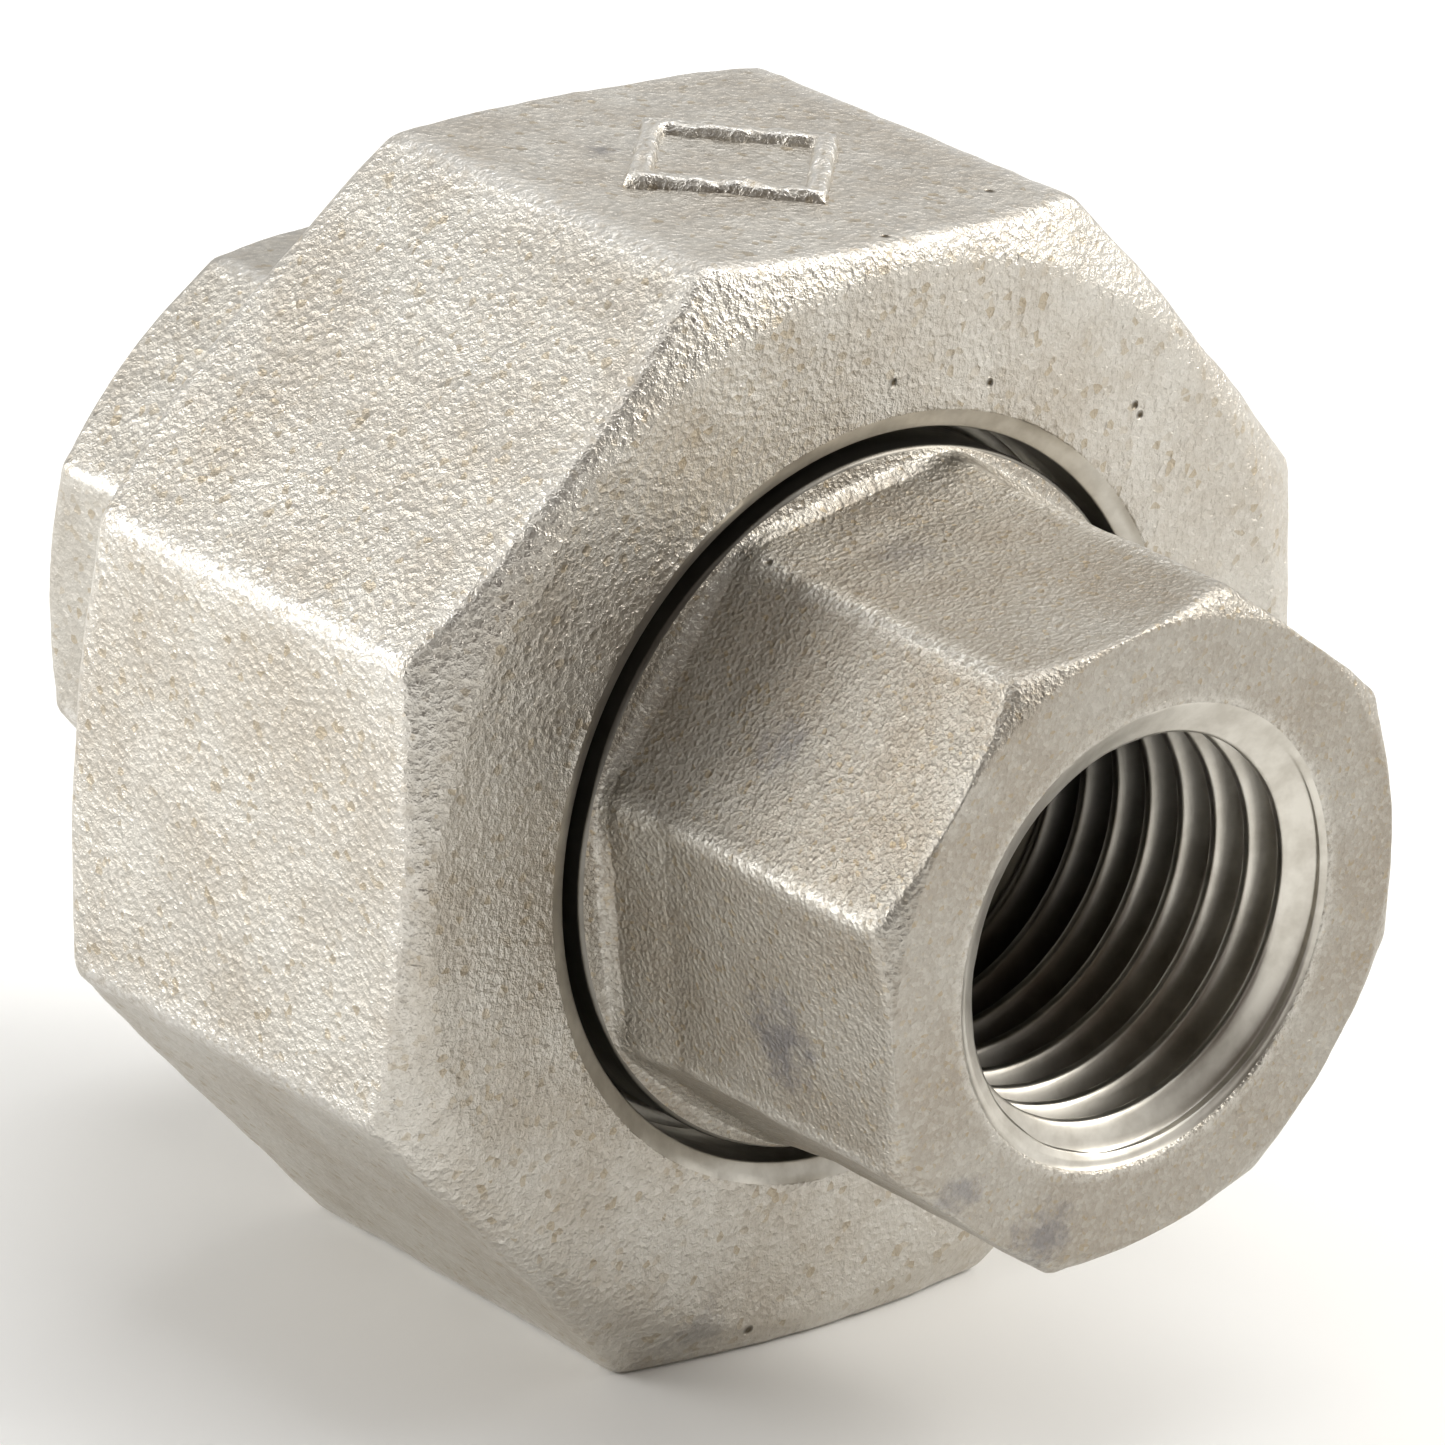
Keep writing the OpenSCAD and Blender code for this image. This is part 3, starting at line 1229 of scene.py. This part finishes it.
@dataclass
class SealRing:
    """Flat ring gasket between the flange and the seat."""

    axis_height: float
    finish: bpy.types.Material
    hole_radius: float = 5.80
    rim_radius: float = 12.20

    def outline(self, angle: float) -> list[Corner]:
        """Outline of the ring, the same in every direction.

        Args:
            angle: direction round the axis, in radians; not used.

        Returns:
            The corners, from the hole outwards and back.
        """
        front, back = span("gasket")
        return [
            Corner(self.hole_radius, front, 0.12, 8),
            Corner(self.rim_radius, front, 0.18, 3),
            Corner(self.rim_radius, back, 0.18, 8),
            Corner(self.hole_radius, back, 0.12, 3),
        ]

    def build(self) -> list[bpy.types.Object]:
        """Builds and dresses the seal ring.

        Returns:
            The finished pieces.
        """
        piece = spun("seal_ring_ptfe", self.outline, Octagon(24.0, 1.0), self.axis_height, 0.0)
        piece.data.materials.append(self.finish)
        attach(piece, "gasket")
        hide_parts("gasket")
        return [piece]


# ---------------------------------------------------------------- studio


@dataclass(frozen=True)
class Lamp:
    """A square soft lamp, sized and placed in metres, with its power in watts."""

    name: str
    place: tuple[float, float, float]
    size: float
    power: float
    colour: str


@dataclass
class Studio:
    """Pale floor, soft lights and the camera, placed in metres."""

    floor_colour: str = "f4f4f3"
    location: tuple[float, float, float] = (-0.17023, -0.18778, 0.11458)
    right: tuple[float, float, float] = (0.75635292, -0.64992234, 0.07437208)
    up: tuple[float, float, float] = (0.18341272, 0.31981944, 0.92955651)
    forward: tuple[float, float, float] = (0.62792518, 0.68943199, -0.36110039)
    lens: float = 237.26
    surround_strength: float = 0.71
    pale: str = "fbfaf8"
    dim: str = "54473c"
    dark_side: tuple[float, float, float] = (-0.42, -0.84, 0.34)
    dark_range: tuple[float, float] = (0.48, 0.84)
    lamps: tuple[Lamp, ...] = (
        Lamp("key_softbox_left", (-0.80, 0.62, 0.34), 0.6, 6.2, "fffefb"),
        Lamp("top_softbox", (0.20, 0.10, 1.00), 0.7, 3.6, "ffffff"),
        Lamp("fill_right", (0.66, -0.42, 0.60), 0.5, 6.5, "fffcf6"),
    )

    def floor(self) -> None:
        """Lays a wide pale floor under the union."""
        mesh = bmesh.new()
        bmesh.ops.create_grid(mesh, x_segments=1, y_segments=1, size=4.0)
        piece = finished("studio_floor", mesh)
        material, tree = blank_material("studio_paper_matt")
        place = add_node(tree, "ShaderNodeTexCoord", {}).outputs["Object"]
        fibre = add_node(
            tree, "ShaderNodeTexNoise", {"Vector": place, "Scale": per_metre(0.6), "Detail": 3.0}
        ).outputs[0]
        bump = add_node(
            tree, "ShaderNodeBump", {"Height": fibre, "Distance": 0.02 * MM, "Strength": 0.3}
        ).outputs[0]
        shader = add_node(
            tree,
            "ShaderNodeBsdfPrincipled",
            {
                "Base Color": linear(self.floor_colour),
                "Roughness": 0.9,
                "Specular IOR Level": 0.1,
                "Normal": bump,
            },
        )
        add_node(tree, "ShaderNodeOutputMaterial", {0: shader.outputs[0]})
        piece.data.materials.append(material)

    def lamp(self, lamp: Lamp) -> None:
        """Hangs one lamp so that it faces the union.

        Args:
            lamp: what it is and where it hangs.
        """
        data = bpy.data.lights.new(lamp.name, "AREA")
        data.size = lamp.size
        data.energy = lamp.power
        data.color = linear(lamp.colour)[:3]
        hung = bpy.data.objects.new(lamp.name, data)
        aim = Vector((0.0, 0.0, 0.016)) - Vector(lamp.place)
        hung.rotation_mode = "QUATERNION"
        hung.rotation_quaternion = aim.to_track_quat("-Z", "Y")
        hung.location = lamp.place
        bpy.context.scene.collection.objects.link(hung)

    def light(self) -> None:
        """Sets the pale surroundings and the soft lamps."""
        world = bpy.data.worlds.new("studio_white")
        world.use_nodes = True
        tree = world.node_tree
        background = tree.nodes["Background"]
        background.inputs[1].default_value = self.surround_strength
        way = add_node(tree, "ShaderNodeTexCoord", {}).outputs["Generated"]
        toward = add_node(
            tree,
            "ShaderNodeVectorMath",
            {0: way, 1: Vector(self.dark_side).normalized()},
            operation="DOT_PRODUCT",
        ).outputs["Value"]
        rim, heart = self.dark_range
        dark = add_node(tree, "ShaderNodeMapRange", {0: toward, 1: rim, 2: heart}).outputs[0]
        tint = add_node(
            tree,
            "ShaderNodeMix",
            {0: dark, 6: linear(self.pale), 7: linear(self.dim)},
            data_type="RGBA",
        ).outputs[2]
        tree.links.new(tint, background.inputs[0])
        bpy.context.scene.world = world
        for lamp in self.lamps:
            self.lamp(lamp)

    def camera(self) -> None:
        """Places the camera that the main view is taken with."""
        data = bpy.data.cameras.new("main_camera")
        data.lens = self.lens
        data.sensor_width = 36.0
        data.clip_start, data.clip_end = 0.01, 20.0
        camera = bpy.data.objects.new("main_camera", data)
        axes = Matrix((self.right, self.up, [-c for c in self.forward])).transposed()
        camera.matrix_world = Matrix.Translation(self.location) @ axes.to_4x4()
        bpy.context.scene.collection.objects.link(camera)
        bpy.context.scene.camera = camera

    def build(self) -> None:
        """Builds the whole studio."""
        self.floor()
        self.light()
        self.camera()
        view = bpy.context.scene.view_settings
        view.view_transform = "Standard"


def steels() -> dict[str, bpy.types.Material]:
    """Makes the three castings' own finishes.

    Returns:
        The finishes by the casting that they belong to.
    """
    nut = CastSteel(
        "cast_stainless_shot_blasted_nut",
        holes=((3.24, -7.2, 28.37), (8.97, -7.2, 26.73), (9.2, -7.2, 26.39), (-0.44, -7.2, 29.0)),
        stains=(Stain((-2.6, 3.2, 33.0), 0.5, 0.5), Stain((-4.7, -7.2, 1.2), 1.0, 0.35)),
    )
    tailpiece = CastSteel(
        "cast_stainless_shot_blasted_tailpiece",
        body="ada89f",
        shade="a1998d",
        rubbed="d6d3cc",
        grain=0.12,
        grain_depth=0.017,
        dimple=0.15,
        dimple_depth=0.025,
        stains=(
            Stain((-8.89, -13.95, 13.7), 1.5, 0.62),
            Stain((-7.94, -11.98, 21.3), 1.0, 0.40),
            Stain((-3.0, -18.7, 8.1), 1.2, 0.55),
            Stain((-6.2, -18.7, 10.3), 0.8, 0.45),
            Stain((-2.6, -10.5, 25.4), 0.9, 0.30),
        ),
    )
    half = CastSteel(
        "cast_stainless_shot_blasted_threaded_half",
        body="bfbbb3",
        shade="b1aba1",
        grain_depth=0.014,
        dimple_depth=0.020,
    )
    return {"nut": nut.made(), "tailpiece": tailpiece.made(), "half": half.made()}


def main() -> None:
    """Builds the union and its studio, and reports each piece."""
    logging.basicConfig(level=logging.INFO, format="%(name)s: %(message)s")
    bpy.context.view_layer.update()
    low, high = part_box("gasket")
    axis_height = (low.z + high.z) / 2.0 / MM
    male = Thread(pitch=UNION_PITCH, inner=12.85, outer=13.95, samples=18)
    female = Thread(pitch=UNION_PITCH, inner=12.95, outer=14.05, samples=16)
    face = span("tailpiece")[0]
    turned = TurnedSteel("stainless_turned_and_tapped", axis_height).made()
    # The bore gets painted shade, darkening between its third and its seventh turn of thread.
    tapped = TurnedSteel(
        "stainless_tapped_bore_painted_shade", axis_height, depth=(face + 4.1, face + 9.2)
    ).made()
    cast = steels()
    seal = SkivedSeal("ptfe_skived_sheet").made()
    Studio().build()
    assemblies = [
        ThreadedHalf(axis_height, [cast["half"], turned], male),
        UnionNut(axis_height, [cast["nut"], turned], female),
        Tailpiece(axis_height, [cast["tailpiece"], turned, tapped]),
        SealRing(axis_height, seal),
    ]
    for assembly in assemblies:
        for piece in assembly.build():
            log.info("%s: %d faces", piece.name, len(piece.data.polygons))


if __name__ == "__main__":
    main()
